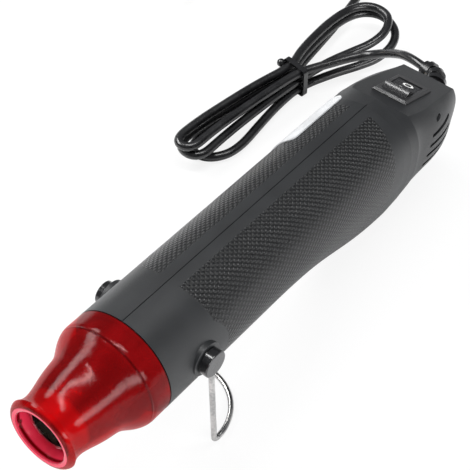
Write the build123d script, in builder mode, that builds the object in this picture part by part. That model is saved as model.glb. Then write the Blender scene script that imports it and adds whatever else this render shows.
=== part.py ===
"""Embossing heat tool: pistol-shaped hot air tool that stands on its heel and on a folding wire foot.

The tool is modelled along its own axis: X runs from the nozzle to the tail, Y is across, Z is up,
and the origin is on the barrel's axis at the edge where the housing meets the nozzle shield.
At the end every piece is leaned and set down on the floor, as it stands on a table.
"""

import os
from math import asin, atan2, cos, degrees, hypot, pi, radians, sin, sqrt, tan

from build123d import *

os.makedirs("parts", exist_ok=True)

# Housing sizes
barrel_r = 20.45
barrel_len = 137.0
wall = 2.0
heel_depth = 39.3
heel_flat = 1.0
step_len = 10.6
tail_len = 38.9
tail_end = barrel_len + step_len + tail_len
section_squareness = 2.5
# Barrel stations: share of its length, and share of the drop from round barrel to heel
belly_shares = ((0.45, 0), (0.56, 0.09), (0.67, 0.32), (0.78, 0.63), (0.89, 0.885), (1, 1))
outline_points = 24
# Middle of the step under the tail: share of its length, and of the heel's depth
step_share = 0.5
step_depth_share = 0.885
# Tail stations: share of its length, then width, top, depth and widest level as shares of the barrel's radius
tail_shares = (
    (0, 0.993, 0.900, 1.400, 0.098),
    (0.27, 0.993, 0.778, 1.200, 0.196),
    (0.52, 0.978, 0.592, 1.174, 0.196),
    (0.76, 0.861, 0.465, 1.174, 0.196),
    (1, 0.690, 0.396, 1.125, 0.196),
)
overrun = 5.0
touch_gap = 0.05
groove_size = 0.35

# Flat deck that carries the switch, falling towards the tail
deck_angle = 16.45
deck_x = 164.6
deck_z = 10.56
ramp_start = 144.7
ramp_len = 3.2
ramp_rise = 3.1
deck_half_width = 10.6

# Vent slots: number, pitch and shape
slot_height = 1.5
slot_pitch = 4.2
slot_x = 166.2
slot_z = 2.3
slot_len = 15.6
slot_step = 1.3
slot_count = 4
short_slot_len = 4.2

# Housing screws: x as a share of the housing's length, z as a share of the barrel's radius
screw_place_shares = ((0.165, -0.80), (0.505, -0.94), (0.69, -1.50), (0.885, -0.80))
post_r = 2.9
pilot_r = 1.2
shank_r = 1.25
shank_gap = 0.15
screw_head_r = 2.3
screw_head_len = 1.6
screw_bite = 7.0
screw_seat = 3.0

# Nozzle shield
shield_len = 38.6
mouth_r = 10.1
rim_r = 13.5
rim_back = 1.6
shield_r = 20.4
shoulder_len = 7.0
spigot_len = 6.0
spigot_gap = 0.1
spigot_wall = 1.65
lip_len = 2.0
lip_height = 0.7
joint_line = 0.45
# Shield outline: share of its length from the housing, share of its radius
shield_outer_shares = ((0.88, 0.608), (0.764, 0.630), (0.648, 0.689), (0.531, 0.735), (0.427, 0.775),
                       (0.285, 0.934), (0.223, 0.985))
shield_inner_shares = ((0.25, 0.819), (0.363, 0.742), (0.427, 0.693), (0.531, 0.650), (0.648, 0.605),
                       (0.764, 0.552), (0.88, 0.520))

# Heater tube and what it holds
tube_front = 34.2
tube_back = 40.9
tube_wall = 0.6
tube_r = 12.5
tube_lip_r = 7.4
tube_mouth_r = 8.4
tube_belly_r = 11.8
tube_belly_back = 23.0
flange_x = 15.0
flange_thick = 0.8
flange_r = 14.6
sleeve_front = 10.0
sleeve_back = 38.0
sleeve_wall = 0.6
board_front = 8.0
board_back = 36.0
board_thick = 0.8
coil_turns = 7
coil_pitch = 4.6
coil_start = 4.0
coil_r = 8.4
coil_wire = 1.0
notch_gap = 0.15
fuse_r = 1.5
fuse_len = 8.0
fuse_x = 24.0

# Air duct between tube and fan
duct_front = 36.0
duct_socket_back = 43.0
duct_back = 57.0
duct_wall = 1.6
duct_flange_len = 2.8
duct_flange_r = 18.2
duct_throat_r = 15.6
rib_thick = 1.4
rib_lap = 1.1
rib_gap = 0.2

# Fan and motor
fan_front = 59.5
fan_len = 7.0
fan_r = 15.9
hub_r = 5.0
blade_count = 7
blade_thick = 1.0
blade_pitch_angle = 35
shaft_r = 1.0
motor_front = 72.0
motor_len = 24.0
motor_r = 12.0
motor_wall = 1.0
motor_cap_len = 3.0
bearing_r = 3.0
bearing_len = 1.5
rotor_r = 8.5
rotor_gap = 3.0
ring_wall = 2.0
arm_width = 4.0
motor_ring_inset = 4.0

# Rectifier board
circuit_front = 106.0
circuit_len = 22.0
circuit_half_width = 14.0
circuit_thick = 1.6
circuit_z = -14.0
rail_lap = 1.6
rail_height = 2.0
diode_len = 4.2
diode_width = 2.6
diode_height = 2.2
diode_pitch = 6.0

# Rocker switch
bezel_len = 21.3
bezel_width = 15.3
bezel_thick = 1.3
bezel_chamfer = 0.9
switch_len = 18.6
switch_width = 12.8
switch_depth = 12.0
cutout_gap = 0.1
rocker_r = 7.4
rocker_width = 10.7
rocker_gap = 0.18
rocker_drop = 2.5
rocker_top = 4.9
rocker_dip = 1.4
rocker_skirt = 2.0
rocker_tilt = 12.0
trunnion_r = 1.2
trunnion_len = 0.6
terminal_thick = 0.8
terminal_width = 4.8
terminal_len = 6.3
terminal_pitch = 7.0

# Wire stand
pivot_x = 17.5
pivot_z = 1.45
wire_r = 1.05
stand_half_width = 22.4
leg_len = 50.4
leg_lean = 6.0
elbow_r = 2.6
foot_bend_r = 2.6
foot_arc_r = 19.6
foot_depth = 22.5
pin_inset = 4.6
knob_r = 5.0
knob_cap = 1.1
far_knob_r = 4.4
far_knob_cap = 0.4
knob_fillet = 0.5
pad_r = 6.4
pad_rise = 0.5
seat_gap = 0.3
axle_r = 3.4
axle_gap = 0.05
axle_flange_r = 4.2
axle_flange_len = 0.8

# Label plate
label_front = 106.0
label_len = 34.0
label_low_angle = 10.0
label_high_angle = 58.0
label_thick = 0.4
label_corner = 3.0

# Cord, its sleeve and plug
cord_r = 1.95
boot_y = -1.5
boot_z = -2.2
boot_core_r = 3.3
boot_neck_r = 3.4
boot_flange_r = 4.5
boot_flange_len = 1.4
boot_hole_gap = 0.1
boot_start = 2.6
boot_bend_r = 8.0
boot_bend_angle = 76
boot_straight = 3.2
boot_ring_r = 4.9
boot_ring_len = 2.2
boot_ring_count = 4
boot_ring_taper = 0.22
layer_gap = 0.5
tie_thick = 0.9
tie_width = 2.4
tie_gap = 0.25
tie_knot_r = 1.9
plug_len = 34.0
plug_width = 24.0
plug_height = 13.6
plug_waist = 13.0
plug_fillet = 2.5
plug_pin_r = 2.0
plug_pin_len = 19.0
plug_pin_pitch = 18.6
plug_relief_len = 9.0
plug_ring_count = 3
plug_y = 150.0
plug_back = 252.0
tie_turn = 170.0
tie_half_width = 5.7
lead_straight = 9.0
hank_checks = 900

# Where the lean comes from: heel and wire foot stand on one flat floor
corner_x = pivot_x + leg_len * sin(radians(leg_lean))
corner_drop = leg_len * cos(radians(leg_lean)) - pivot_z
foot_reach = barrel_len - corner_x
foot_drop = corner_drop - heel_depth
lean = degrees(atan2(foot_drop, foot_reach) + asin(wire_r / hypot(foot_drop, foot_reach)))
lift = heel_depth * cos(radians(lean)) + barrel_len * sin(radians(lean))
inner_r = barrel_r - wall
body_span = 2 * (heel_depth + barrel_r)


def deck_height(x):
    """Height of the deck's plane above the axis at x."""
    return deck_z + (deck_x - x) * tan(radians(deck_angle))


def floor_height(x):
    """Height of the floor's plane above the axis at x, below the heel's flat."""
    return (x - barrel_len) * tan(radians(lean)) - heel_depth


def superellipse(angle, half_width, middle, top, depth, squareness):
    """A point of the body's outline, at an angle from the right hand side."""
    across = cos(radians(angle))
    upward = sin(radians(angle))
    reach = top - middle if upward > 0 else depth + middle
    y = half_width * abs(across) ** (2 / squareness)
    z = reach * abs(upward) ** (2 / squareness)
    return (y if across > 0 else -y, middle + (z if upward > 0 else -z))


def body_outline(half_width, middle, top, depth, squareness):
    """One smooth closed curve round the body."""
    points = []
    for step in range(outline_points):
        points.append(superellipse(360 * step / outline_points, half_width, middle, top, depth, squareness))
    return Spline(*points, periodic=True)


def body_form(inset):
    """The housing's closed form, drawn in by an even inset for its hollow."""
    drop = heel_depth + heel_flat - barrel_r
    round_r = barrel_r - inset
    straight_len = belly_shares[0][0] * barrel_len
    bend_len = barrel_len - inset - straight_len
    front = -overrun if inset else 0
    with BuildPart() as form:
        with BuildSketch(Plane.YZ.offset(front)):
            with BuildLine():
                body_outline(round_r, 0, round_r, round_r, 2)
            make_face()
        extrude(amount=straight_len - front)
        for along, belly in belly_shares:
            share = (along - belly_shares[0][0]) / (1 - belly_shares[0][0])
            with BuildSketch(Plane.YZ.offset(straight_len + share * bend_len)):
                with BuildLine():
                    body_outline(round_r, 0, round_r, round_r + belly * drop, 2)
                make_face()
        loft()
        step_start = barrel_len - inset
        width, top, depth, level = [share * barrel_r for share in tail_shares[0][1:]]
        with BuildSketch(Plane.YZ.offset(step_start)):
            with BuildLine():
                body_outline(round_r, 0, round_r, heel_depth + heel_flat - inset, 2)
            make_face()
        with BuildSketch(Plane.YZ.offset(step_start + step_share * step_len)):
            with BuildLine():
                body_outline((round_r + width - inset) / 2, -level / 2, (round_r + top - inset) / 2,
                             step_depth_share * heel_depth - inset, (2 + section_squareness) / 2)
            make_face()
        with BuildSketch(Plane.YZ.offset(step_start + step_len)):
            with BuildLine():
                body_outline(width - inset, -level, top - inset, depth - inset, section_squareness)
            make_face()
        loft(ruled=True)
        for along, width, top, depth, level in tail_shares:
            with BuildSketch(Plane.YZ.offset(barrel_len + step_len - inset + along * tail_len)):
                with BuildLine():
                    body_outline(width * barrel_r - inset, -level * barrel_r, top * barrel_r - inset,
                                 depth * barrel_r - inset, section_squareness)
                make_face()
        loft()
        with BuildSketch(Plane.XZ):
            Polygon(
                (ramp_start + inset, body_span),
                (ramp_start + inset, deck_height(ramp_start + ramp_len) + ramp_rise - inset),
                (ramp_start + ramp_len + inset, deck_height(ramp_start + ramp_len + inset) - inset),
                (tail_end + overrun, deck_height(tail_end + overrun) - inset),
                (tail_end + overrun, body_span),
                align=None,
            )
            # Flat under the heel, level with the floor
            Polygon(
                (0, floor_height(0) + inset),
                (0, -body_span),
                (tail_end + overrun, -body_span),
                (tail_end + overrun, floor_height(tail_end + overrun) + inset),
                align=None,
            )
        extrude(amount=body_span, both=True, mode=Mode.SUBTRACT)
    return form.part


# Housing: one hollow form with its inner posts, rings and rails, then split into two halves
outer_form = body_form(0)
hollow_form = body_form(wall)
screw_places = [(x * tail_end, z * barrel_r) for x, z in screw_place_shares]
duct_ring_xs = (duct_back - duct_flange_len - rib_gap - rib_thick, duct_back + rib_gap)
motor_ring_xs = (motor_front + motor_ring_inset, motor_front + motor_len - motor_ring_inset - rib_thick)

with BuildPart() as supports:
    with BuildSketch(Plane.XZ):
        with Locations(*screw_places):
            Circle(post_r)
    extrude(amount=body_span, both=True)
    for x in duct_ring_xs:
        with BuildSketch(Plane.YZ.offset(x)):
            Circle(barrel_r)
            Circle(inner_r - rib_lap, mode=Mode.SUBTRACT)
        extrude(amount=rib_thick)
    for x in motor_ring_xs:
        with BuildSketch(Plane.YZ.offset(x)):
            Circle(motor_r + ring_wall)
            Rectangle(body_span, arm_width)
            Rectangle(arm_width, 2 * body_span)
            Circle(motor_r + touch_gap, mode=Mode.SUBTRACT)
        extrude(amount=rib_thick)
    with BuildSketch(Plane.YZ.offset(circuit_front)):
        with Locations((0, circuit_z + circuit_thick / 2)):
            Rectangle(body_span, circuit_thick + 2 * rail_height)
            Rectangle(2 * (circuit_half_width + touch_gap), circuit_thick, mode=Mode.SUBTRACT)
            Rectangle(2 * (circuit_half_width - rail_lap), body_span, mode=Mode.SUBTRACT)
    extrude(amount=circuit_len)

deck_plane = Plane(
    origin=(deck_x, 0, deck_z),
    x_dir=(cos(radians(deck_angle)), 0, -sin(radians(deck_angle))),
    z_dir=(sin(radians(deck_angle)), 0, cos(radians(deck_angle))),
)

with BuildPart() as shell:
    add(outer_form)
    add(hollow_form, mode=Mode.SUBTRACT)
    add(supports.part & body_form(wall / 2))
    # Groove that holds the shield's lip
    with BuildSketch(Plane.XZ):
        with Locations((spigot_len - lip_len - touch_gap, 0)):
            Rectangle(lip_len + 2 * touch_gap, inner_r + lip_height, align=(Align.MIN, Align.MIN))
    revolve(axis=Axis.X, mode=Mode.SUBTRACT)
    # Cut-out for the switch, square to the deck
    with BuildSketch(deck_plane):
        Rectangle(switch_len + 2 * cutout_gap, switch_width + 2 * cutout_gap)
    extrude(amount=2 * wall, both=True, mode=Mode.SUBTRACT)
    # Hole for the cord's sleeve in the rear wall
    with BuildSketch(Plane.YZ.offset(tail_end - 2 * wall)):
        with Locations((boot_y, boot_z)):
            Circle(boot_neck_r + boot_hole_gap)
    extrude(amount=2 * wall + overrun, mode=Mode.SUBTRACT)
    # Vent slots through both sides
    with BuildSketch(Plane.XZ):
        for row in range(slot_count):
            with Locations((slot_x - row * slot_step / 2, slot_z - row * slot_pitch)):
                SlotOverall(slot_len + row * slot_step, slot_height)
        with Locations((slot_x - slot_step, slot_z + slot_pitch)):
            SlotOverall(short_slot_len, slot_height)
    extrude(amount=barrel_r + overrun, both=True, mode=Mode.SUBTRACT)
    # Parting groove along the top
    with BuildSketch(Plane.YZ):
        with Locations((0, barrel_r)):
            Rectangle(groove_size, 2 * groove_size)
    extrude(amount=ramp_start, mode=Mode.SUBTRACT)

# Pads round the stand's pivot, with a hole for its axle
with BuildPart() as pads:
    with BuildSketch(Plane.XZ):
        with Locations((pivot_x, pivot_z)):
            Circle(pad_r)
    extrude(amount=barrel_r + pad_rise, both=True)
    with BuildSketch(Plane.YZ):
        Circle(barrel_r - wall / 2)
    extrude(amount=barrel_len, mode=Mode.SUBTRACT)
    fillet(pads.edges().filter_by(GeomType.CIRCLE).sort_by(Axis.Y)[0], pad_rise / 2)
    fillet(pads.edges().filter_by(GeomType.CIRCLE).sort_by(Axis.Y)[-1], pad_rise / 2)

with BuildPart() as housing:
    add(shell.part)
    add(pads.part)
    with BuildSketch(Plane.XZ):
        with Locations((pivot_x, pivot_z)):
            Circle(axle_r + axle_gap)
    extrude(amount=barrel_r + overrun, both=True, mode=Mode.SUBTRACT)
    # Screw holes: a pilot in one half, a seat and a clearance hole in the other
    with BuildSketch(Plane.XZ):
        with Locations(*screw_places):
            Circle(pilot_r)
    extrude(amount=screw_bite, mode=Mode.SUBTRACT)
    with BuildSketch(Plane.XZ):
        with Locations(*screw_places):
            Circle(shank_r + shank_gap)
    extrude(amount=-screw_seat, mode=Mode.SUBTRACT)
    with BuildSketch(Plane.XZ.offset(-screw_seat)):
        with Locations(*screw_places):
            Circle(screw_head_r + shank_gap)
    extrude(amount=-body_span, mode=Mode.SUBTRACT)

# The parting line follows the middle, then steps round the deck, which is all on one half
with BuildPart() as right_side:
    with BuildSketch(Plane.XY.offset(-body_span)):
        Rectangle(2 * tail_end + body_span, body_span, align=(Align.MIN, Align.MAX))
    extrude(amount=2 * body_span)
    with BuildSketch(deck_plane.offset(-wall)):
        Polygon(
            (ramp_start - deck_x, 0),
            (ramp_start - deck_x, deck_half_width),
            (tail_end - wall - deck_x, deck_half_width - wall / 2),
            (tail_end - wall - deck_x, 0),
            align=None,
        )
    extrude(amount=body_span)

housing_right = housing.part & right_side.part
housing_left = housing.part - right_side.part

# Nozzle shield with its spigot
with BuildPart() as nozzle_shield:
    with BuildSketch(Plane.XZ):
        with BuildLine():
            rim = ThreePointArc(
                (-shield_len, mouth_r),
                (-shield_len - rim_back / 8, (mouth_r + rim_r) / 2),
                (-shield_len + rim_back, rim_r),
            )
            outer = Spline(
                rim @ 1,
                *[(-x * shield_len, r * shield_r) for x, r in shield_outer_shares],
                (-shoulder_len, shield_r),
            )
            Line(outer @ 1, (-joint_line, shield_r))
            spigot_r = inner_r - spigot_gap
            bore = Polyline(
                (-joint_line, shield_r),
                (-joint_line, spigot_r),
                (spigot_len - lip_len, spigot_r),
                (spigot_len - lip_len, inner_r + lip_height - spigot_gap),
                (spigot_len, inner_r + lip_height - spigot_gap),
                (spigot_len, spigot_r - spigot_wall),
                (-shield_inner_shares[0][0] * shield_len, spigot_r - spigot_wall),
            )
            Spline(
                bore @ 1,
                *[(-x * shield_len, r * shield_r) for x, r in shield_inner_shares[1:]],
                rim @ 0,
            )
        make_face()
    revolve(axis=Axis.X)

# Heater tube: rolled front, belly, ring flange and a straight barrel
with BuildPart() as heater_tube:
    with BuildSketch(Plane.XZ):
        with BuildLine():
            front = Line((-tube_front, tube_lip_r), (-tube_front, tube_mouth_r))
            belly = Spline(
                front @ 1,
                (-(tube_front + tube_belly_back) / 2, (tube_mouth_r + 2 * tube_belly_r) / 3),
                (-tube_belly_back, tube_belly_r),
                tangents=((0.3, 1), (1, 0)),
            )
            steps = Polyline(
                belly @ 1,
                (-flange_x, tube_belly_r),
                (-flange_x, flange_r),
                (-flange_x + flange_thick, flange_r),
                (-flange_x + flange_thick, tube_r),
                (tube_back, tube_r),
                (tube_back, tube_r - tube_wall),
                (-flange_x + flange_thick / 2, tube_r - tube_wall),
                (-flange_x + flange_thick / 2, tube_belly_r - tube_wall),
                (-tube_belly_back, tube_belly_r - tube_wall),
            )
            Spline(
                steps @ 1,
                (-(tube_front + tube_belly_back) / 2, (tube_mouth_r + 2 * tube_belly_r) / 3 - tube_wall),
                (-tube_front + tube_wall, tube_mouth_r - tube_wall / 2),
                (-tube_front + tube_wall, tube_lip_r),
                tangents=((-1, 0), (0, -1)),
            )
            Line((-tube_front + tube_wall, tube_lip_r), front @ 0)
        make_face()
    revolve(axis=Axis.X)

sleeve_r = tube_r - tube_wall - touch_gap
with BuildPart() as mica_sleeve:
    with BuildSketch(Plane.YZ.offset(-sleeve_front)):
        Circle(sleeve_r)
        Circle(sleeve_r - sleeve_wall, mode=Mode.SUBTRACT)
    extrude(amount=sleeve_front + sleeve_back)

# Mica cross that carries the heating wire in notches
board_reach = sleeve_r - sleeve_wall - touch_gap
notch_width = coil_wire + 2 * notch_gap
with BuildPart() as mica_core:
    for turn in (0, 90):
        with BuildSketch(Plane.YZ.offset(-board_front)):
            Rectangle(2 * board_reach, board_thick, rotation=turn)
        extrude(amount=board_front + board_back)
    for step in range(4 * coil_turns + 1):
        notch_x = -coil_start + step / 4 * coil_pitch
        with Locations(Location((notch_x, 0, 0), (90 * (step + 1), 0, 0))):
            with Locations((0, board_reach, 0)):
                Box(notch_width, 2 * (board_reach - coil_r + coil_wire / 2 + notch_gap),
                    2 * board_thick, mode=Mode.SUBTRACT)

with BuildPart() as heating_coil:
    with BuildLine():
        winding = Helix(coil_pitch, coil_turns * coil_pitch, coil_r, center=(-coil_start, 0, 0),
                        direction=(1, 0, 0))
    with BuildSketch(Plane(origin=winding @ 0, z_dir=winding % 0)):
        Circle(coil_wire / 2)
    sweep(is_frenet=True)

fuse_offset = board_thick / 2 + fuse_r + touch_gap
with BuildPart() as thermal_fuse:
    with BuildSketch(Plane.YZ.offset(fuse_x)):
        with Locations((fuse_offset, fuse_offset)):
            Circle(fuse_r)
    extrude(amount=fuse_len)

# Air duct: a funnel with a flange that the housing's rings hold
with BuildPart() as air_duct:
    with BuildSketch(Plane.XZ):
        Polygon(
            (duct_front, tube_r + touch_gap),
            (duct_front, tube_r + duct_wall),
            (duct_socket_back, tube_r + duct_wall),
            (duct_back - duct_flange_len, inner_r - rib_lap - rib_gap),
            (duct_back - duct_flange_len, duct_flange_r),
            (duct_back, duct_flange_r),
            (duct_back, duct_throat_r),
            (duct_back - duct_flange_len, duct_throat_r),
            (duct_socket_back, tube_r - tube_wall),
            (tube_back + touch_gap, tube_r - tube_wall),
            (tube_back + touch_gap, tube_r + touch_gap),
            align=None,
        )
    revolve(axis=Axis.X)

# Fan with pitched blades
with BuildPart() as fan:
    with BuildSketch(Plane.YZ.offset(fan_front)):
        Circle(hub_r)
    extrude(amount=fan_len)
    for blade in range(blade_count):
        turn = Location((fan_front + fan_len / 2, 0, 0), (blade * 360 / blade_count, 0, 0))
        with Locations(turn * Location((0, 0, (hub_r - blade_thick + fan_r) / 2), (0, 0, blade_pitch_angle))):
            Box(fan_len - blade_thick, blade_thick, fan_r - hub_r + blade_thick)
    with BuildSketch(Plane.YZ):
        Circle(fan_r)
    extrude(amount=fan_front + fan_len + overrun, mode=Mode.INTERSECT)
    with BuildSketch(Plane.YZ.offset(fan_front - overrun)):
        Circle(shaft_r)
    extrude(amount=fan_len + 2 * overrun, mode=Mode.SUBTRACT)

motor_back = motor_front + motor_len
rotor_front = motor_front + rotor_gap
rotor_back = motor_back - rotor_gap
with BuildPart() as motor_shaft:
    with BuildSketch(Plane.YZ.offset(fan_front)):
        Circle(shaft_r)
    extrude(amount=motor_back + motor_cap_len / 2 - fan_front)

with BuildPart() as motor_rotor:
    with BuildSketch(Plane.YZ.offset(rotor_front)):
        Circle(rotor_r)
        Circle(shaft_r, mode=Mode.SUBTRACT)
    extrude(amount=rotor_back - rotor_front)

with BuildPart() as motor_can:
    with BuildSketch(Plane.YZ.offset(motor_front)):
        Circle(motor_r)
    extrude(amount=motor_len)
    with BuildSketch(Plane.YZ.offset(motor_front - bearing_len)):
        Circle(bearing_r)
    extrude(amount=bearing_len)
    with BuildSketch(Plane.YZ.offset(motor_front + motor_wall)):
        Circle(motor_r - motor_wall)
    extrude(amount=motor_len, mode=Mode.SUBTRACT)
    with BuildSketch(Plane.YZ.offset(motor_front - 2 * bearing_len)):
        Circle(shaft_r + touch_gap)
    extrude(amount=motor_len, mode=Mode.SUBTRACT)

with BuildPart() as motor_end_cap:
    with BuildSketch(Plane.YZ.offset(motor_back)):
        Circle(motor_r)
    extrude(amount=motor_cap_len)
    with BuildSketch(Plane.YZ.offset(motor_back - overrun)):
        Circle(shaft_r + touch_gap)
    extrude(amount=overrun + motor_cap_len / 2 + touch_gap, mode=Mode.SUBTRACT)
    with BuildSketch(Plane.YZ.offset(motor_back + motor_cap_len)):
        with Locations((motor_r / 2, 0), (-motor_r / 2, 0)):
            Rectangle(terminal_thick, terminal_width / 2)
    extrude(amount=terminal_width / 2)

# Rectifier board and its four diodes
with BuildPart() as rectifier_board:
    with BuildSketch(Plane.XY.offset(circuit_z)):
        with Locations((circuit_front, 0)):
            Rectangle(circuit_len, 2 * circuit_half_width, align=(Align.MIN, Align.CENTER))
    extrude(amount=circuit_thick)

with BuildPart() as diodes:
    with BuildSketch(Plane.XY.offset(circuit_z + circuit_thick)):
        with Locations((circuit_front + circuit_len / 2, 0)):
            with GridLocations(2 * diode_pitch, diode_pitch, 2, 2):
                Rectangle(diode_len, diode_width)
    extrude(amount=diode_height)

# Switch body with its bezel, sunk in the deck
deck_axis = Axis((0, 0, 0), deck_plane.z_dir)
pivot_point = deck_plane.offset(-rocker_drop).origin
pivot_plane = Plane(origin=pivot_point, x_dir=deck_plane.x_dir, z_dir=(0, -1, 0))
cavity_r = rocker_r + rocker_gap
cavity_half_width = rocker_width / 2 + rocker_gap
with BuildPart() as switch_body:
    with BuildSketch(deck_plane):
        Rectangle(bezel_len, bezel_width)
    extrude(amount=bezel_thick)
    chamfer(switch_body.faces().sort_by(deck_axis)[-1].edges(), bezel_chamfer)
    with BuildSketch(deck_plane.offset(-switch_depth)):
        Rectangle(switch_len, switch_width)
    extrude(amount=switch_depth)
    with BuildSketch(pivot_plane):
        Circle(cavity_r)
    extrude(amount=cavity_half_width, both=True, mode=Mode.SUBTRACT)
    with BuildSketch(deck_plane):
        Rectangle(2 * (rocker_r + cutout_gap), 2 * cavity_half_width)
    extrude(amount=bezel_thick, mode=Mode.SUBTRACT)
    with BuildSketch(pivot_plane):
        Circle(trunnion_r + touch_gap)
    extrude(amount=rocker_width / 2 + trunnion_len + touch_gap, both=True, mode=Mode.SUBTRACT)

# Rocker at rest, with its tail half pressed in
rest_angle = radians(deck_angle + rocker_tilt)
rocker_plane = Plane(origin=pivot_point, x_dir=(cos(rest_angle), 0, -sin(rest_angle)), z_dir=(0, -1, 0))
top_reach = sqrt(rocker_r**2 - rocker_top**2)
skirt_reach = sqrt(rocker_r**2 - rocker_skirt**2)
with BuildPart() as rocker:
    with BuildSketch(rocker_plane):
        with BuildLine():
            Polyline((-top_reach, rocker_top), (0, rocker_top - rocker_dip), (top_reach, rocker_top))
            ThreePointArc((top_reach, rocker_top), (rocker_r, 0), (skirt_reach, -rocker_skirt))
            Line((skirt_reach, -rocker_skirt), (-skirt_reach, -rocker_skirt))
            ThreePointArc((-skirt_reach, -rocker_skirt), (-rocker_r, 0), (-top_reach, rocker_top))
        make_face()
    extrude(amount=rocker_width / 2, both=True)
    with BuildSketch(rocker_plane):
        Circle(trunnion_r)
    extrude(amount=rocker_width / 2 + trunnion_len, both=True)

with BuildPart() as switch_terminals:
    with BuildSketch(deck_plane.offset(-switch_depth - terminal_len)):
        with GridLocations(terminal_pitch, 0, 2, 1):
            Rectangle(terminal_thick, terminal_width)
    extrude(amount=terminal_len)

# Wire stand: two legs, a rounded foot that lies on the floor, and ends turned in at the pivot
floor_dir = Vector(cos(radians(lean)), 0, sin(radians(lean)))
corner = Vector(corner_x, 0, -corner_drop)
foot_end = corner + floor_dir * foot_depth
side = Vector(0, stand_half_width, 0)
pin_end = Vector(pivot_x, stand_half_width - pin_inset, pivot_z)
pin_start = Vector(pivot_x, pin_inset - stand_half_width, pivot_z)
pivot_centre = Vector(pivot_x, 0, pivot_z)
with BuildPart() as stand_wire:
    with BuildLine() as stand_path:
        FilletPolyline(
            pin_start,
            pivot_centre - side,
            corner - side,
            foot_end - side,
            foot_end + side,
            corner + side,
            pivot_centre + side,
            pin_end,
            radius=[elbow_r, foot_bend_r, foot_arc_r, foot_arc_r, foot_bend_r, elbow_r],
        )
    with BuildSketch(Plane(origin=pin_start, z_dir=(0, -1, 0))):
        Circle(wire_r)
    sweep()


def knob(direction, cap_r, cap):
    """A pivot knob with its axle, on the side that the direction gives."""
    seat = barrel_r + pad_rise + seat_gap
    cap_start = stand_half_width + wire_r + touch_gap
    leg_angle = leg_lean - 90
    with BuildPart() as piece:
        with BuildSketch(Plane.XZ.offset(-direction * seat)):
            with Locations((pivot_x, pivot_z)):
                Circle(cap_r)
        extrude(amount=-direction * (cap_start + cap - seat))
        rim = piece.edges().filter_by(GeomType.CIRCLE).sort_by(Axis.Y)[-1 if direction > 0 else 0]
        fillet(rim, min(knob_fillet, cap / 2))
        # Channel for the wire's leg and its bend
        with BuildSketch(Plane.XZ.offset(-direction * seat)):
            with Locations(Location((pivot_x, pivot_z), leg_angle)):
                Rectangle(cap_r + overrun, 2 * (wire_r + touch_gap), align=(Align.MIN, Align.CENTER))
                Circle(wire_r + touch_gap)
        extrude(amount=-direction * (cap_start - seat), mode=Mode.SUBTRACT)
        # Axle with a flange that snaps in behind the wall
        with BuildSketch(Plane.XZ.offset(-direction * seat)):
            with Locations((pivot_x, pivot_z)):
                Circle(axle_r)
        extrude(amount=direction * (seat - axle_end))
        with BuildSketch(Plane.XZ.offset(-direction * axle_end)):
            with Locations((pivot_x, pivot_z)):
                Circle(axle_flange_r)
        extrude(amount=-direction * axle_flange_len)
        with BuildSketch(Plane.XZ):
            with Locations((pivot_x, pivot_z)):
                Circle(wire_r + touch_gap)
        extrude(amount=-direction * cap_start, mode=Mode.SUBTRACT)
        # Room for the bend between leg and pin
        with BuildSketch(Plane.XZ.offset(-direction * (stand_half_width - elbow_r))):
            with Locations(Location((pivot_x, pivot_z), leg_angle)):
                Rectangle(elbow_r, 2 * (wire_r + touch_gap), align=(Align.MIN, Align.CENTER))
        extrude(amount=-direction * (elbow_r + wire_r), mode=Mode.SUBTRACT)
    return piece


axle_end = sqrt(inner_r**2 - (axle_flange_r + pivot_z) ** 2) - seat_gap - axle_flange_len
stand_knob_left = knob(1, far_knob_r, far_knob_cap)
stand_knob_right = knob(-1, knob_r, knob_cap)

# Blank label plate, curved to the barrel's far side
label_start_r = barrel_r + touch_gap
with BuildPart() as label_plate:
    with BuildSketch(Plane.YZ.offset(label_front)):
        Circle(label_start_r + label_thick)
        Circle(label_start_r, mode=Mode.SUBTRACT)
    extrude(amount=label_len)
    label_middle = (label_low_angle + label_high_angle) / 2
    label_plane = Plane(origin=(label_front + label_len / 2, 0, 0), x_dir=(1, 0, 0),
                        z_dir=(0, sin(radians(90 - label_middle)), cos(radians(90 - label_middle))))
    label_half = barrel_r * sin(radians((label_high_angle - label_low_angle) / 2))
    with BuildSketch(label_plane):
        RectangleRounded(label_len, 2 * label_half, label_corner)
    extrude(amount=body_span, mode=Mode.INTERSECT)

# Cord sleeve: a flange inside the wall, a neck, and a ringed sleeve that bends to the side
boot_plane = Plane(origin=(tail_end, boot_y, boot_z), x_dir=(1, 0, 0), z_dir=(0, 0, 1))
with BuildLine(boot_plane) as boot_path:
    boot_lead = Line((0, 0), (boot_start, 0))
    boot_turn = JernArc(boot_lead @ 1, boot_lead % 1, boot_bend_r, boot_bend_angle)
    Line(boot_turn @ 1, boot_turn @ 1 + (boot_turn % 1) * boot_straight)
boot_wire = boot_path.wires()[0]
with BuildPart() as cord_boot:
    with BuildSketch(Plane.YZ.offset(tail_end)):
        with Locations((boot_y, boot_z)):
            Circle(boot_core_r)
    sweep(path=boot_wire)
    with BuildSketch(Plane.YZ.offset(tail_end - wall - boot_flange_len)):
        with Locations((boot_y, boot_z)):
            Circle(boot_neck_r)
    extrude(amount=wall + boot_flange_len + touch_gap)
    with BuildSketch(Plane.YZ.offset(tail_end - wall - touch_gap - boot_flange_len)):
        with Locations((boot_y, boot_z)):
            Circle(boot_flange_r)
    extrude(amount=boot_flange_len)
    for ring in range(boot_ring_count):
        middle = touch_gap + boot_ring_len / 2 + (boot_wire.length - boot_ring_len - touch_gap) * ring / (boot_ring_count - 1 / 2)
        at = Plane(origin=boot_wire @ (middle / boot_wire.length), z_dir=boot_wire % (middle / boot_wire.length))
        with BuildSketch(at.offset(-boot_ring_len / 2)):
            Circle(boot_ring_r - ring * boot_ring_taper)
        extrude(amount=boot_ring_len)

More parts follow.
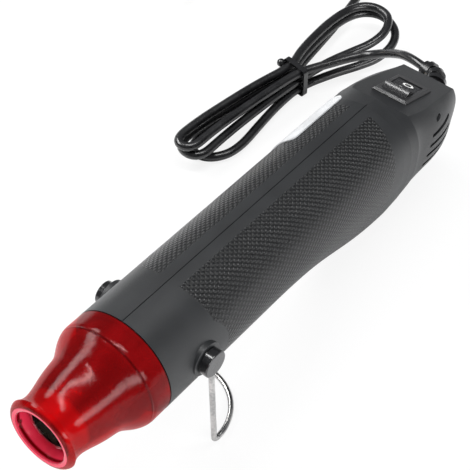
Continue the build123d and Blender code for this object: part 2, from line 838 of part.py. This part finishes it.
# Housing screws, entered from the left half
with BuildPart() as housing_screws:
    with BuildSketch(Plane.XZ):
        with Locations(*screw_places):
            Circle(pilot_r)
    extrude(amount=screw_bite - touch_gap)
    with BuildSketch(Plane.XZ):
        with Locations(*screw_places):
            Circle(shank_r)
    extrude(amount=-screw_seat)
    with BuildSketch(Plane.XZ.offset(-screw_seat)):
        with Locations(*screw_places):
            Circle(screw_head_r)
    extrude(amount=-screw_head_len)

# Lean the tool back on its heel, and centre it over the origin
lean_seat = Location((0, 0, lift)) * Location((0, 0, 0), (0, lean, 0))
tool_pieces = {
    "housing_left": housing_left,
    "housing_right": housing_right,
    "nozzle_shield": nozzle_shield.part,
    "heater_tube": heater_tube.part,
    "mica_sleeve": mica_sleeve.part,
    "mica_core": mica_core.part,
    "heating_coil": heating_coil.part,
    "thermal_fuse": thermal_fuse.part,
    "air_duct": air_duct.part,
    "fan": fan.part,
    "motor_shaft": motor_shaft.part,
    "motor_rotor": motor_rotor.part,
    "motor_can": motor_can.part,
    "motor_end_cap": motor_end_cap.part,
    "rectifier_board": rectifier_board.part,
    "diodes": diodes.part,
    "switch_body": switch_body.part,
    "rocker": rocker.part,
    "switch_terminals": switch_terminals.part,
    "stand_wire": stand_wire.part,
    "stand_knob_left": stand_knob_left.part,
    "stand_knob_right": stand_knob_right.part,
    "label_plate": label_plate.part,
    "cord_boot": cord_boot.part,
    "housing_screws": housing_screws.part,
}
tool_box = Compound([piece.moved(lean_seat) for piece in tool_pieces.values()]).bounding_box()
floor_seat = Location((-tool_box.center().X, -tool_box.center().Y, 0))

# Cord: routes on the floor, before the tool is centred. The hank has three layers at the tie.
low = tie_thick + tie_gap + cord_r
middle = low + 2 * cord_r + layer_gap
high = middle + 2 * cord_r + layer_gap
laid = cord_r + tie_gap / 2
plug_z = plug_height / 2
boot_exit = lean_seat * Location(Plane(origin=boot_wire @ 1, z_dir=boot_wire % 1))
lead_route = [
    boot_exit.position,
    boot_exit.position + boot_exit.z_axis.direction * lead_straight,
    (204.0, 26.5, 23.5), (207.0, 36.2, 15.6), (202.0, 45.7, high), (191.0, 52.1, high),
]
hank_route = [
    (191.0, 52.1, high), (180.0, 58.5, high),
    # First turn at the nozzle end, on top
    (165.0, 61.3, high), (145.0, 64.3, high), (129.0, 66.2, high), (114.8, 66.6, high), (114.8, 75.4, high),
    (129.0, 74.6, high), (147.0, 71.5, high), (163.0, 68.4, high), (181.0, 63.4, high),
    # First loop at the tail end, which steps down on its way back
    (191.0, 66.0, high), (203.0, 66.9, high), (215.0, 67.0, high), (226.0, 65.4, high), (232.5, 62.2, high),
    (236.0, 56.5, high), (235.3, 50.0, high), (231.5, 46.0, 11.5), (225.0, 44.2, 10.2), (217.0, 46.2, 8.4),
    (209.0, 50.3, middle), (196.0, 55.2, middle), (180.0, 58.5, middle),
    # Second turn
    (165.0, 60.6, middle), (148.6, 62.2, middle), (132.0, 63.2, middle), (115.9, 63.4, middle),
    (115.9, 75.4, middle), (131.0, 75.2, middle), (147.0, 71.5, middle), (163.0, 68.4, middle),
    (181.0, 63.4, middle),
    # Second loop
    (191.0, 66.0, middle), (203.0, 66.9, middle), (215.0, 67.0, middle), (226.0, 65.6, middle),
    (233.5, 62.0, middle), (237.4, 55.5, middle), (236.3, 48.0, middle), (231.8, 41.9, 7.2),
    (225.2, 39.3, 5.6), (215.8, 40.6, 4.0), (207.5, 44.9, 3.3), (196.0, 51.6, low), (180.0, 58.5, low),
    # Third turn, which lies on the floor
    (165.0, 59.2, 3.0), (150.0, 58.2, 2.6), (138.0, 57.2, 2.2), (129.0, 58.8, laid), (122.3, 64.5, laid),
    (121.5, 72.6, laid), (131.0, 75.4, laid), (147.0, 71.7, 2.3), (163.0, 68.4, 2.8), (181.0, 63.4, low),
    (192.0, 66.6, laid), (204.0, 67.7, laid),
]
end_route = [
    (204.0, 67.7, laid), (228.0, 69.9, laid), (250.0, 73.4, laid), (269.0, 78.0, laid), (282.5, 90.5, laid),
    (289.5, 107.0, laid), (288.5, 125.0, 2.5), (282.0, 139.0, 4.0), (271.5, 147.5, 5.9), (261.0, 150.0, plug_z),
    (plug_back, plug_y, plug_z),
]
bend_share = 0.45


def bend_radii(points):
    """The radius at each bend: as large as the two runs beside it allow."""
    radii = []
    for before, at, after in zip(points, points[1:], points[2:]):
        turn = (at - before).get_angle(after - at)
        shorter = min((at - before).length, (after - at).length)
        radii.append(bend_share * shorter / tan(radians(turn / 2)))
    return radii


def cord_tube(name, route):
    """A round cord along the route, with its length, bends and volume printed."""
    points = [Vector(*point) for point in route]
    radii = bend_radii(points)
    with BuildPart() as tube:
        with BuildLine() as path:
            FilletPolyline(*points, radius=radii)
        with BuildSketch(Plane(origin=points[0], z_dir=points[1] - points[0])):
            Circle(cord_r)
        sweep()
    length = path.wires()[0].length
    print(name, "length", round(length, 1), "least bend", round(min(radii), 1))
    print("  volume", round(tube.part.volume), "of", round(length * pi * cord_r**2))
    return tube, path.wires()[0]


cord_lead, lead_path = cord_tube("cord_lead", lead_route)
cord_hank, hank_path = cord_tube("cord_hank", hank_route)
cord_end, end_path = cord_tube("cord_end", end_route)

# Tie: a flat strap round the six strands, with a knot
tie_dir = Vector(cos(radians(tie_turn)), sin(radians(tie_turn)), 0)
tie_across = Vector(-tie_dir.Y, tie_dir.X, 0) * -1
tie_top = high + cord_r + tie_gap
tie_centre = Vector(180.5, 61.0, (tie_thick + tie_top) / 2)
with BuildPart() as cord_tie:
    with BuildSketch(Plane(origin=tie_centre - tie_dir * tie_width / 2, x_dir=tie_across, z_dir=tie_dir)):
        RectangleRounded(2 * (tie_half_width + tie_thick), tie_top + tie_thick, cord_r)
        RectangleRounded(2 * tie_half_width, tie_top - tie_thick, cord_r - tie_thick, mode=Mode.SUBTRACT)
    extrude(amount=tie_width)
    with Locations(tie_centre + tie_across * (tie_half_width + tie_thick) + tie_dir * tie_width
                   + Vector(0, 0, tie_top / 2 - tie_knot_r)):
        Sphere(tie_knot_r)

# Plug with two round pins
plug_front = plug_back - plug_relief_len - plug_len
with BuildPart() as plug_body:
    with BuildSketch():
        with Locations((plug_front, plug_y)):
            Polygon(
                (0, -plug_width / 2),
                (0, plug_width / 2),
                (plug_len / 2, plug_width / 2),
                (plug_len, plug_waist / 2),
                (plug_len, -plug_waist / 2),
                (plug_len / 2, -plug_width / 2),
                align=None,
            )
    extrude(amount=plug_height)
    fillet(plug_body.edges().filter_by(Axis.Z), plug_fillet)
    fillet(plug_body.faces().sort_by(Axis.Z)[-1].edges(), plug_fillet)
    with BuildSketch(Plane.YZ.offset(plug_back)):
        with Locations((plug_y, plug_z)):
            Circle(cord_r + tie_thick)
    extrude(amount=-plug_relief_len)
    for ring in range(plug_ring_count):
        ring_x = plug_back - plug_relief_len * (ring + 1 / 2) / plug_ring_count
        with BuildSketch(Plane.YZ.offset(ring_x)):
            with Locations((plug_y, plug_z)):
                Circle(cord_r + 2 * tie_thick + ring * tie_thick / 2)
        extrude(amount=-plug_relief_len / plug_ring_count / 2)

with BuildPart() as plug_pins:
    with BuildSketch(Plane.YZ.offset(plug_front)):
        with Locations((plug_y - plug_pin_pitch / 2, plug_z), (plug_y + plug_pin_pitch / 2, plug_z)):
            Circle(plug_pin_r)
    extrude(amount=-plug_pin_len)
    fillet(plug_pins.faces().sort_by(Axis.X)[:2].edges(), plug_pin_r / 2)

cord_pieces = {
    "cord_lead": cord_lead.part,
    "cord_hank": cord_hank.part,
    "cord_tie": cord_tie.part,
    "cord_end": cord_end.part,
    "plug_body": plug_body.part,
    "plug_pins": plug_pins.part,
}

# How far the hank stays from itself, measured on points along it
spots = [hank_path @ (step / hank_checks) for step in range(hank_checks + 1)]
near = hank_path.length / hank_checks
clear = min(
    (spots[i] - spots[j]).length - 2 * cord_r
    for i in range(len(spots))
    for j in range(i + 1, len(spots))
    if (j - i) * near > 4 * cord_r
)
print("hank's least gap to itself", round(clear, 2))
print("cord length in all", round(lead_path.length + hank_path.length + end_path.length))
print("lean", round(lean, 3), "shift", floor_seat.position, "tool box", tool_box)
for title, spot in (("stand pivot", pivot_centre), ("rocker pivot", pivot_point), ("shaft", Vector(fan_front, 0, 0)),
                    ("heel", Vector(barrel_len, 0, -heel_depth)), ("mouth", Vector(-shield_len, 0, 0))):
    print(title, (floor_seat * lean_seat * Location(spot)).position)

for name, piece in tool_pieces.items():
    placed = piece.moved(floor_seat * lean_seat)
    placed.label = name
    print(name, len(placed.solids()), round(placed.volume), placed.is_valid)
    export_step(placed, f"parts/{name}.step")
for name, piece in cord_pieces.items():
    placed = piece.moved(floor_seat)
    placed.label = name
    print(name, len(placed.solids()), round(placed.volume), placed.is_valid)
    export_step(placed, f"parts/{name}.step")
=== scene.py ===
from math import radians

import bpy
from mathutils import Matrix, Vector


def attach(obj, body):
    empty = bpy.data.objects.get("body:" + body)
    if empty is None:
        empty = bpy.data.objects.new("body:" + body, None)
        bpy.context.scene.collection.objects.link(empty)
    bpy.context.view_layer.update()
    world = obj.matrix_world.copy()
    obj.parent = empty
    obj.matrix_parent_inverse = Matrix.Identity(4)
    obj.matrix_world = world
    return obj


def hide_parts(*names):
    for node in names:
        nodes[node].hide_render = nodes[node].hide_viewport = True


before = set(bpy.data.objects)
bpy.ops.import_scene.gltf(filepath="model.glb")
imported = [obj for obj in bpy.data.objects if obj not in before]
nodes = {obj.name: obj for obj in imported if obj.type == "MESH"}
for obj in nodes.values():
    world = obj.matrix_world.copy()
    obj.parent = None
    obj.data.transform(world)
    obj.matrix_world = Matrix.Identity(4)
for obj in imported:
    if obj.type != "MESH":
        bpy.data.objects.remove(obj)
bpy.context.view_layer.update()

# Body frame, in millimetres: origin on the barrel's axis at its front edge, +X to the tail, +Z up
lean = radians(5.216)
shift_x = -80.2508
shift_y = 0.35
lift = 51.592
barrel_r = 20.45
barrel_end = 134.0
pivot_x = 17.5
pivot_z = 1.45

# Grip panels: where they start, how far they keep from the top, the bottom and the knobs, and their pips
panel_start = 22.0
panel_slant = 2.0
front_slant_share = 1.5
panel_top_angle = 11.5
panel_bottom_angle = 150
knob_clearance = 12.0
pip_scale = (0.56, 0.70, 1)
pip_edge = 0.46
pip_top = 0.16

# Shield: collar band's edge, where a dark line of painted shade goes, and radii of the mouth, painted pink
# for light glowing through it, and of the line inside it
band_edge = 8.6
band_edge_width = 0.5
mouth_outer_r = 11.7
mouth_inner_r = 11.4
mouth_from = -27.0
mouth_full = -30.0
mouth_line = (10.10, 10.20, 10.25, 10.35)

# Marks on the rocker: an oval ring and a dash, with their half widths along and across
ring_x = 168.96
ring_y = -0.32
ring_size = (1.0, 1.9)
dash_x = 165.7
dash_y = 1.2
dash_size = (0.30, 0.55)

millimetres = 1000
body_place = Matrix.Translation((shift_x / millimetres, shift_y / millimetres, lift / millimetres))
body_frame = body_place @ Matrix.Rotation(lean, 4, "Y")


# Materials

class Shader:
    """A node tree under construction."""

    def __init__(self, name):
        self.material = bpy.data.materials.new(name)
        self.material.use_nodes = True
        self.tree = self.material.node_tree
        self.tree.nodes.clear()
        self.out = self.add("ShaderNodeOutputMaterial")

    def add(self, kind, **settings):
        node = self.tree.nodes.new(kind)
        for key, value in settings.items():
            setattr(node, key, value)
        return node

    def link(self, source, target):
        self.tree.links.new(source, target)

    def put(self, value, socket):
        """A link if value is a socket, or the socket's own value."""
        if isinstance(value, bpy.types.NodeSocket):
            self.link(value, socket)
        else:
            socket.default_value = value

    def math(self, operation, a, b=0.0):
        node = self.add("ShaderNodeMath", operation=operation)
        self.put(a, node.inputs[0])
        self.put(b, node.inputs[1])
        return node.outputs[0]

    def ramp(self, value, low, high, to_low=0.0, to_high=1.0):
        node = self.add("ShaderNodeMapRange", interpolation_type="SMOOTHSTEP")
        for index, item in enumerate((value, low, high, to_low, to_high)):
            self.put(item, node.inputs[index])
        return node.outputs[0]

    def mix(self, share, a, b):
        node = self.add("ShaderNodeMix", data_type="RGBA")
        self.put(share, node.inputs[0])
        self.put(a, node.inputs[6])
        self.put(b, node.inputs[7])
        return node.outputs[2]

    def noise(self, vector, scale, detail=3.0):
        node = self.add("ShaderNodeTexNoise")
        node.inputs["Scale"].default_value = scale
        node.inputs["Detail"].default_value = detail
        self.link(vector, node.inputs["Vector"])
        return node.outputs["Fac"]

    def bump(self, height, distance, strength=1.0, under=None):
        node = self.add("ShaderNodeBump")
        node.inputs["Distance"].default_value = distance
        node.inputs["Strength"].default_value = strength
        self.link(height, node.inputs["Height"])
        if under is not None:
            self.link(under, node.inputs["Normal"])
        return node.outputs[0]

    def coordinates(self, matrix=None):
        """The piece's own coordinates in millimetres, or those of the body frame."""
        source = self.add("ShaderNodeTexCoord").outputs["Object"]
        place = self.add("ShaderNodeMapping", vector_type="POINT")
        self.link(source, place.inputs["Vector"])
        matrix = matrix or Matrix()
        place.inputs["Location"].default_value = matrix.to_translation() * millimetres
        place.inputs["Rotation"].default_value = matrix.to_euler("XYZ")
        place.inputs["Scale"].default_value = (millimetres, millimetres, millimetres)
        return place.outputs[0]

    def stretched(self, vector, scale):
        place = self.add("ShaderNodeMapping")
        self.link(vector, place.inputs["Vector"])
        place.inputs["Scale"].default_value = scale
        return place.outputs[0]

    def surface(self, colour, roughness, metallic=0.0, normal=None, coat=0.0, coat_roughness=0.1,
                ior=1.5):
        node = self.add("ShaderNodeBsdfPrincipled")
        for key, value in (("Base Color", colour), ("Roughness", roughness), ("Metallic", metallic),
                           ("Coat Weight", coat), ("Coat Roughness", coat_roughness), ("IOR", ior)):
            self.put(value, node.inputs[key])
        if normal is not None:
            self.link(normal, node.inputs["Normal"])
        return node.outputs[0]

    def finish(self, surface):
        self.link(surface, self.out.inputs["Surface"])
        return self.material


def finish_of(name, dark, light, rough, metallic=0.0, grain=2.0, stretch=(1, 1, 1), depth=0.00002,
              coat=0.0):
    """A finish with a fine grain: its colour, its gloss and its surface vary with it."""
    s = Shader(name)
    place = s.coordinates()
    fine = s.noise(s.stretched(place, stretch), grain)
    broad = s.noise(place, 0.12, 2.0)
    colour = s.mix(s.ramp(s.math("ADD", fine, broad), 0.7, 1.3), (*dark, 1), (*light, 1))
    roughness = s.ramp(broad, 0.3, 0.7, rough[0], rough[1])
    return s.finish(s.surface(colour, roughness, metallic, s.bump(fine, depth), coat))


def to_body(piece):
    return body_frame.inverted() @ piece.matrix_world


def housing_finish(piece):
    """Charcoal plastic with a spark grain, and staggered pips on the grip panels, with painted shade in the
    hollows between the pips and lighter pip tops.
    """
    s = Shader("housing_plastic " + piece.name)
    place = s.coordinates(to_body(piece))
    axes = s.add("ShaderNodeSeparateXYZ")
    s.link(place, axes.inputs[0])
    along, across, up = axes.outputs
    # Angle from the top, positive towards +Y, and arc length round the barrel
    angle = s.math("ARCTAN2", across, up)
    arc = s.math("MULTIPLY", angle, barrel_r)
    flat = s.add("ShaderNodeCombineXYZ")
    s.link(along, flat.inputs[0])
    s.link(arc, flat.inputs[1])
    turned = s.add("ShaderNodeMapping")
    turned.inputs["Rotation"].default_value = (0, 0, radians(45))
    turned.inputs["Scale"].default_value = pip_scale
    s.link(flat.outputs[0], turned.inputs["Vector"])
    cells = s.add("ShaderNodeTexVoronoi", voronoi_dimensions="2D", feature="F1", distance="EUCLIDEAN")
    cells.inputs["Scale"].default_value = 1.0
    cells.inputs["Randomness"].default_value = 0.0
    s.link(turned.outputs[0], cells.inputs["Vector"])
    pips = s.ramp(cells.outputs["Distance"], pip_edge, pip_top)
    # Panels end short of both edges of the barrel, of the top strip and of the bottom strip
    size = s.math("ABSOLUTE", angle)
    slant = s.math("MULTIPLY", size, panel_slant)
    front_slant = s.math("MULTIPLY", slant, front_slant_share)
    front = s.math("SUBTRACT", s.math("SUBTRACT", along, panel_start), front_slant)
    rear = s.math("SUBTRACT", s.math("SUBTRACT", barrel_end, along), slant)
    side = s.math("MULTIPLY", s.math("SUBTRACT", size, radians(panel_top_angle)), barrel_r)
    under = s.math("MULTIPLY", s.math("SUBTRACT", radians(panel_bottom_angle), size), barrel_r)
    dx = s.math("SUBTRACT", along, pivot_x)
    dz = s.math("SUBTRACT", up, pivot_z)
    away = s.math("SQRT", s.math("ADD", s.math("MULTIPLY", dx, dx), s.math("MULTIPLY", dz, dz)))
    boss = s.math("SUBTRACT", away, knob_clearance)
    least = front
    for edge in (rear, side, under, boss):
        least = s.math("MINIMUM", least, edge)
    panel = s.ramp(least, 0.0, 0.5)
    pips = s.math("MULTIPLY", pips, panel)
    spark = s.noise(place, 3.2, 4.0)
    broad = s.noise(place, 0.05, 2.0)
    patches = s.ramp(broad, 0.35, 0.65)
    bare = s.mix(patches, (0.0105, 0.0112, 0.0122, 1), (0.0150, 0.0160, 0.0172, 1))
    # Grip colour follows the pips' height: painted shade in the hollows between them, lighter colour on their
    # raised tops
    grip = s.mix(pips, (0.0030, 0.0032, 0.0036, 1), (0.0165, 0.0173, 0.0185, 1))
    colour = s.mix(panel, bare, grip)
    polish = s.math("ADD", s.math("MULTIPLY", panel, -0.04), s.math("MULTIPLY", pips, -0.12))
    roughness = s.math("ADD", s.ramp(spark, 0.3, 0.7, 0.40, 0.50), polish)
    normal = s.bump(spark, 0.00004, 0.5)
    normal = s.bump(pips, 0.0006, 1.0, normal)
    return s.finish(s.surface(colour, roughness, 0.0, normal))


def red_finish(piece):
    """Clear red plastic: a tinted see-through skin, a mouth painted pink for light glowing through the
    plastic, and a dark edge line of painted shade round the collar band.
    """
    s = Shader("red_plastic")
    place = s.coordinates(to_body(piece))
    axes = s.add("ShaderNodeSeparateXYZ")
    s.link(place, axes.inputs[0])
    along, across, up = axes.outputs
    squares = s.math("ADD", s.math("MULTIPLY", across, across), s.math("MULTIPLY", up, up))
    radius = s.math("SQRT", squares)
    inside = s.ramp(radius, mouth_outer_r, mouth_inner_r)
    mouth = s.math("MULTIPLY", inside, s.ramp(along, mouth_from, mouth_full))
    inner_start, inner_end, outer_end, outer_start = mouth_line
    line = s.math("MULTIPLY", s.ramp(radius, outer_start, outer_end), s.ramp(radius, inner_start, inner_end))
    shoulder = s.ramp(s.math("ABSOLUTE", s.math("ADD", along, band_edge)), band_edge_width, 0.0)
    flow = s.noise(s.stretched(place, (0.3, 1, 1)), 0.09, 2.0)
    fine = s.noise(place, 2.4, 2.0)
    tint = s.mix(s.ramp(flow, 0.3, 0.7), (0.62, 0.008, 0.010, 1), (0.78, 0.020, 0.022, 1))
    skin = s.mix(s.ramp(flow, 0.35, 0.65), (0.22, 0.001, 0.002, 1), (0.38, 0.003, 0.005, 1))
    # Painted light: the mouth's inner wall is painted pink for light glowing through the clear plastic
    skin = s.mix(mouth, skin, (0.95, 0.05, 0.12, 1))
    # Painted shade: a dark line along the collar band's sharp edge; the same dark colour also draws the line
    # inside the mouth
    skin = s.mix(s.math("MAXIMUM", shoulder, line), skin, (0.08, 0.0, 0.001, 1))
    clear = s.add("ShaderNodeBsdfTransparent")
    s.link(tint, clear.inputs["Color"])
    normal = s.bump(s.math("ADD", s.math("MULTIPLY", fine, 0.1), shoulder), 0.0003, 0.7)
    gloss = s.surface(skin, s.ramp(fine, 0.3, 0.7, 0.10, 0.16), 0.0, normal, 0.0, 0.03, 1.38)
    both = s.add("ShaderNodeMixShader")
    s.put(s.math("ADD", s.math("MULTIPLY", mouth, 0.40), 0.42), both.inputs[0])
    s.link(clear.outputs[0], both.inputs[1])
    s.link(gloss, both.inputs[2])
    return s.finish(both.outputs[0])


def rocker_finish(piece):
    """Satin black rocker with a white ring and a white dash printed on it."""
    s = Shader("rocker_plastic")
    place = s.coordinates(to_body(piece))
    axes = s.add("ShaderNodeSeparateXYZ")
    s.link(place, axes.inputs[0])
    along, across, up = axes.outputs
    fine = s.noise(place, 3.0, 3.0)

    def far(x, y, wide, deep):
        """Distance from a point as a share of an oval's half widths."""
        a = s.math("DIVIDE", s.math("SUBTRACT", along, x), wide)
        b = s.math("DIVIDE", s.math("SUBTRACT", across, y), deep)
        return s.math("SQRT", s.math("ADD", s.math("MULTIPLY", a, a), s.math("MULTIPLY", b, b)))

    ring = s.math("ABSOLUTE", s.math("SUBTRACT", far(ring_x, ring_y, *ring_size), 1.0))
    ring = s.ramp(ring, 0.26, 0.18)
    dash = s.ramp(far(dash_x, dash_y, *dash_size), 1.1, 0.8)
    print_share = s.math("MAXIMUM", ring, dash)
    plastic = s.mix(s.ramp(fine, 0.3, 0.7), (0.006, 0.006, 0.007, 1), (0.012, 0.012, 0.013, 1))
    colour = s.mix(print_share, plastic, (0.80, 0.80, 0.78, 1))
    roughness = s.ramp(fine, 0.3, 0.7, 0.20, 0.30)
    return s.finish(s.surface(colour, roughness, 0.0, s.bump(fine, 0.00003, 0.6), 0.3))


# Finishes: dark and light colour, least and most roughness, metal, grain, stretch, depth and coat
finish_rows = (
    ("heater_steel", (0.42, 0.40, 0.38), (0.66, 0.64, 0.62), (0.18, 0.34), 1.0, 1.2, (0.2, 3, 3),
     0.00002),
    ("mica", (0.48, 0.40, 0.27), (0.74, 0.68, 0.54), (0.28, 0.48), 0.0, 0.9, (1, 1, 1), 0.00004),
    ("heating_wire", (0.20, 0.18, 0.17), (0.38, 0.34, 0.31), (0.35, 0.55), 1.0, 2.4),
    ("fuse_metal", (0.50, 0.50, 0.50), (0.72, 0.71, 0.69), (0.22, 0.38), 1.0, 2.0),
    ("inner_plastic", (0.56, 0.55, 0.50), (0.68, 0.67, 0.62), (0.42, 0.58), 0.0, 2.6),
    ("motor_metal", (0.46, 0.46, 0.47), (0.66, 0.66, 0.66), (0.24, 0.40), 1.0, 1.5, (0.3, 2, 2)),
    ("board_laminate", (0.035, 0.10, 0.030), (0.06, 0.17, 0.05), (0.35, 0.5), 0.0, 1.6),
    ("black_plastic", (0.0045, 0.0045, 0.005), (0.010, 0.010, 0.011), (0.16, 0.28),
     0.0, 2.2, (1, 1, 1), 0.00002, 0.4),
    ("switch_plastic", (0.010, 0.010, 0.011), (0.020, 0.020, 0.021), (0.26, 0.38),
     0.0, 2.8, (1, 1, 1), 0.00003),
    ("terminal_brass", (0.50, 0.36, 0.14), (0.72, 0.54, 0.26), (0.25, 0.4), 1.0, 1.8),
    ("stand_steel", (0.34, 0.34, 0.34), (0.62, 0.61, 0.60), (0.14, 0.26), 1.0, 1.1, (1, 1, 1), 0.00002),
    ("label_silver", (0.56, 0.57, 0.58), (0.74, 0.75, 0.76), (0.30, 0.42), 0.35, 1.6, (4, 0.4, 0.4),
     0.00001),
    ("cord_rubber", (0.0050, 0.0050, 0.0055), (0.0110, 0.0110, 0.0120), (0.22, 0.34),
     0.0, 1.4, (1, 1, 1), 0.00004, 0.25),
)
plain = {name: finish_of(name, *row) for name, *row in finish_rows}
plain["red_plastic"] = red_finish(nodes["nozzle_shield"])

piece_finishes = {
    "nozzle_shield": "red_plastic",
    "heater_tube": "heater_steel",
    "mica_sleeve": "mica",
    "mica_core": "mica",
    "heating_coil": "heating_wire",
    "thermal_fuse": "fuse_metal",
    "air_duct": "inner_plastic",
    "fan": "inner_plastic",
    "motor_shaft": "heater_steel",
    "motor_rotor": "motor_metal",
    "motor_can": "motor_metal",
    "motor_end_cap": "inner_plastic",
    "rectifier_board": "board_laminate",
    "diodes": "black_plastic",
    "switch_body": "switch_plastic",
    "switch_terminals": "terminal_brass",
    "stand_wire": "stand_steel",
    "stand_knob_left": "black_plastic",
    "stand_knob_right": "black_plastic",
    "label_plate": "label_silver",
    "cord_boot": "cord_rubber",
    "housing_screws": "motor_metal",
    "cord_lead": "cord_rubber",
    "cord_hank": "cord_rubber",
    "cord_tie": "black_plastic",
    "cord_end": "cord_rubber",
    "plug_body": "cord_rubber",
    "plug_pins": "terminal_brass",
}


def dress(piece, material):
    piece.data.materials.clear()
    piece.data.materials.append(material)


for name, slot in piece_finishes.items():
    dress(nodes[name], plain[slot])
for name in ("housing_left", "housing_right"):
    dress(nodes[name], housing_finish(nodes[name]))
dress(nodes["rocker"], rocker_finish(nodes["rocker"]))


# Cord: one curve from the boot to the plug

low, middle, high, laid, plug_z = 3.1, 7.5, 11.9, 2.075, 6.8
exit_point = (116.367 - shift_x, 7.670, 31.434)
cord_route = [
    exit_point,
    (118.536 - shift_x, 16.402, 31.236),
    (204.0, 26.5, 23.5), (207.0, 36.2, 15.6), (202.0, 45.7, high), (191.0, 52.1, high),
    (180.0, 58.5, high),
    # First turn at the nozzle end, on top
    (165.0, 61.3, high), (145.0, 64.3, high), (129.0, 66.2, high), (114.8, 66.6, high), (114.8, 75.4, high),
    (129.0, 74.6, high), (147.0, 71.5, high), (163.0, 68.4, high), (181.0, 63.4, high),
    # First loop at the tail end, which steps down on its way back
    (191.0, 66.0, high), (203.0, 66.9, high), (215.0, 67.0, high), (226.0, 65.4, high), (232.5, 62.2, high),
    (236.0, 56.5, high), (235.3, 50.0, high), (231.5, 46.0, 11.5), (225.0, 44.2, 10.2), (217.0, 46.2, 8.4),
    (209.0, 50.3, middle), (196.0, 55.2, middle), (180.0, 58.5, middle),
    # Second turn
    (165.0, 60.6, middle), (148.6, 62.2, middle), (132.0, 63.2, middle), (115.9, 63.4, middle),
    (115.9, 75.4, middle), (131.0, 75.2, middle), (147.0, 71.5, middle), (163.0, 68.4, middle),
    (181.0, 63.4, middle),
    # Second loop
    (191.0, 66.0, middle), (203.0, 66.9, middle), (215.0, 67.0, middle), (226.0, 65.6, middle),
    (233.5, 62.0, middle), (237.4, 55.5, middle), (236.3, 48.0, middle), (231.8, 41.9, 7.2),
    (225.2, 39.3, 5.6), (215.8, 40.6, 4.0), (207.5, 44.9, 3.3), (196.0, 51.6, low), (180.0, 58.5, low),
    # Third turn, which lies on the floor
    (165.0, 59.2, 3.0), (150.0, 58.2, 2.6), (138.0, 57.2, 2.2), (129.0, 58.8, laid), (122.3, 64.5, laid),
    (121.5, 72.6, laid), (131.0, 75.4, laid), (147.0, 71.7, 2.3), (163.0, 68.4, 2.8), (181.0, 63.4, low),
    (192.0, 66.6, laid), (204.0, 67.7, laid),
    (228.0, 69.9, laid), (250.0, 73.4, laid), (269.0, 78.0, laid), (282.5, 90.5, laid),
    (289.5, 107.0, laid), (288.5, 125.0, 2.5), (282.0, 139.0, 4.0), (271.5, 147.5, 5.9),
    (261.0, 150.0, plug_z), (252.0, 150.0, plug_z),
]
cord_thick = 0.0039
line = bpy.data.curves.new("cord", "CURVE")
line.dimensions = "3D"
line.bevel_depth = cord_thick / 2
line.bevel_resolution = 5
line.resolution_u = 8
line.use_fill_caps = True
strand = line.splines.new("NURBS")
strand.points.add(len(cord_route) - 1)
for point, (x, y, z) in zip(strand.points, cord_route):
    point.co = ((x + shift_x) / millimetres, (y + shift_y) / millimetres, z / millimetres, 1)
strand.order_u = 3
strand.use_endpoint_u = True
cord = bpy.data.objects.new("cord", line)
bpy.context.scene.collection.objects.link(cord)
line.materials.append(plain["cord_rubber"])
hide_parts("cord_lead", "cord_hank", "cord_end")
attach(cord, "tool")


# Floor, light and camera

def floor_finish():
    s = Shader("floor")
    place = s.add("ShaderNodeTexCoord").outputs["Object"]
    tone = s.mix(s.noise(place, 3.0), (0.90, 0.90, 0.90, 1), (0.93, 0.93, 0.93, 1))
    lit = s.surface(tone, 0.9)
    seen = s.add("ShaderNodeEmission")
    seen.inputs["Color"].default_value = (1, 1, 1, 1)
    path = s.add("ShaderNodeLightPath")
    both = s.add("ShaderNodeMixShader")
    s.link(s.math("MULTIPLY", path.outputs["Is Camera Ray"], 0.86), both.inputs[0])
    s.link(lit, both.inputs[1])
    s.link(seen.outputs[0], both.inputs[2])
    return s.finish(both.outputs[0])


floor_mesh = bpy.data.meshes.new("floor")
reach = 6.0
floor_corners = [(-reach, -reach, 0), (reach, -reach, 0), (reach, reach, 0), (-reach, reach, 0)]
floor_mesh.from_pydata(floor_corners, [], [(0, 1, 2, 3)])
floor = bpy.data.objects.new("floor", floor_mesh)
floor.location = (0, 0, -0.0002)
bpy.context.scene.collection.objects.link(floor)
floor_mesh.materials.append(floor_finish())


def lamp(name, place, aim, wide, deep, power):
    data = bpy.data.lights.new(name, "AREA")
    data.shape = "RECTANGLE"
    data.size = wide
    data.size_y = deep
    data.energy = power
    lamp_object = bpy.data.objects.new(name, data)
    lamp_object.location = place
    lamp_object.rotation_euler = (Vector(aim) - Vector(place)).to_track_quat("-Z", "Y").to_euler()
    bpy.context.scene.collection.objects.link(lamp_object)


lamp("key", (-0.15, 0.75, 0.75), (0, 0, 0.04), 0.9, 0.30, 10)
lamp("top", (0.1, 0.05, 1.1), (0, 0, 0.04), 0.9, 0.14, 8)
lamp("fill", (-0.25, -0.85, 0.40), (0, 0, 0.04), 0.9, 0.25, 8)

world = bpy.data.worlds.new("world")
world.use_nodes = True
tree = world.node_tree
background = tree.nodes["Background"]
shade = tree.nodes.new("ShaderNodeLightPath")
mix = tree.nodes.new("ShaderNodeMix")
mix.data_type = "RGBA"
mix.inputs[6].default_value = (0.22, 0.225, 0.235, 1)
mix.inputs[7].default_value = (1, 1, 1, 1)
tree.links.new(shade.outputs["Is Camera Ray"], mix.inputs[0])
tree.links.new(mix.outputs[2], background.inputs["Color"])
background.inputs["Strength"].default_value = 1.0
scene = bpy.context.scene
scene.world = world
scene.view_settings.view_transform = "Standard"

camera_data = bpy.data.cameras.new("camera")
camera_data.sensor_width = 36
camera_data.lens = 99.57
camera_data.clip_start = 0.01
camera_data.clip_end = 30
camera = bpy.data.objects.new("camera", camera_data)
right = Vector((0.61364, -0.78959, -0.00026))
up = Vector((0.60780, 0.47215, 0.63847))
back = Vector((-0.50401, -0.39195, 0.76965))
turn = Matrix((right, up, back)).transposed().to_4x4()
camera.matrix_world = Matrix.Translation((-0.24486, -0.17363, 0.40112)) @ turn
scene.collection.objects.link(camera)
scene.camera = camera
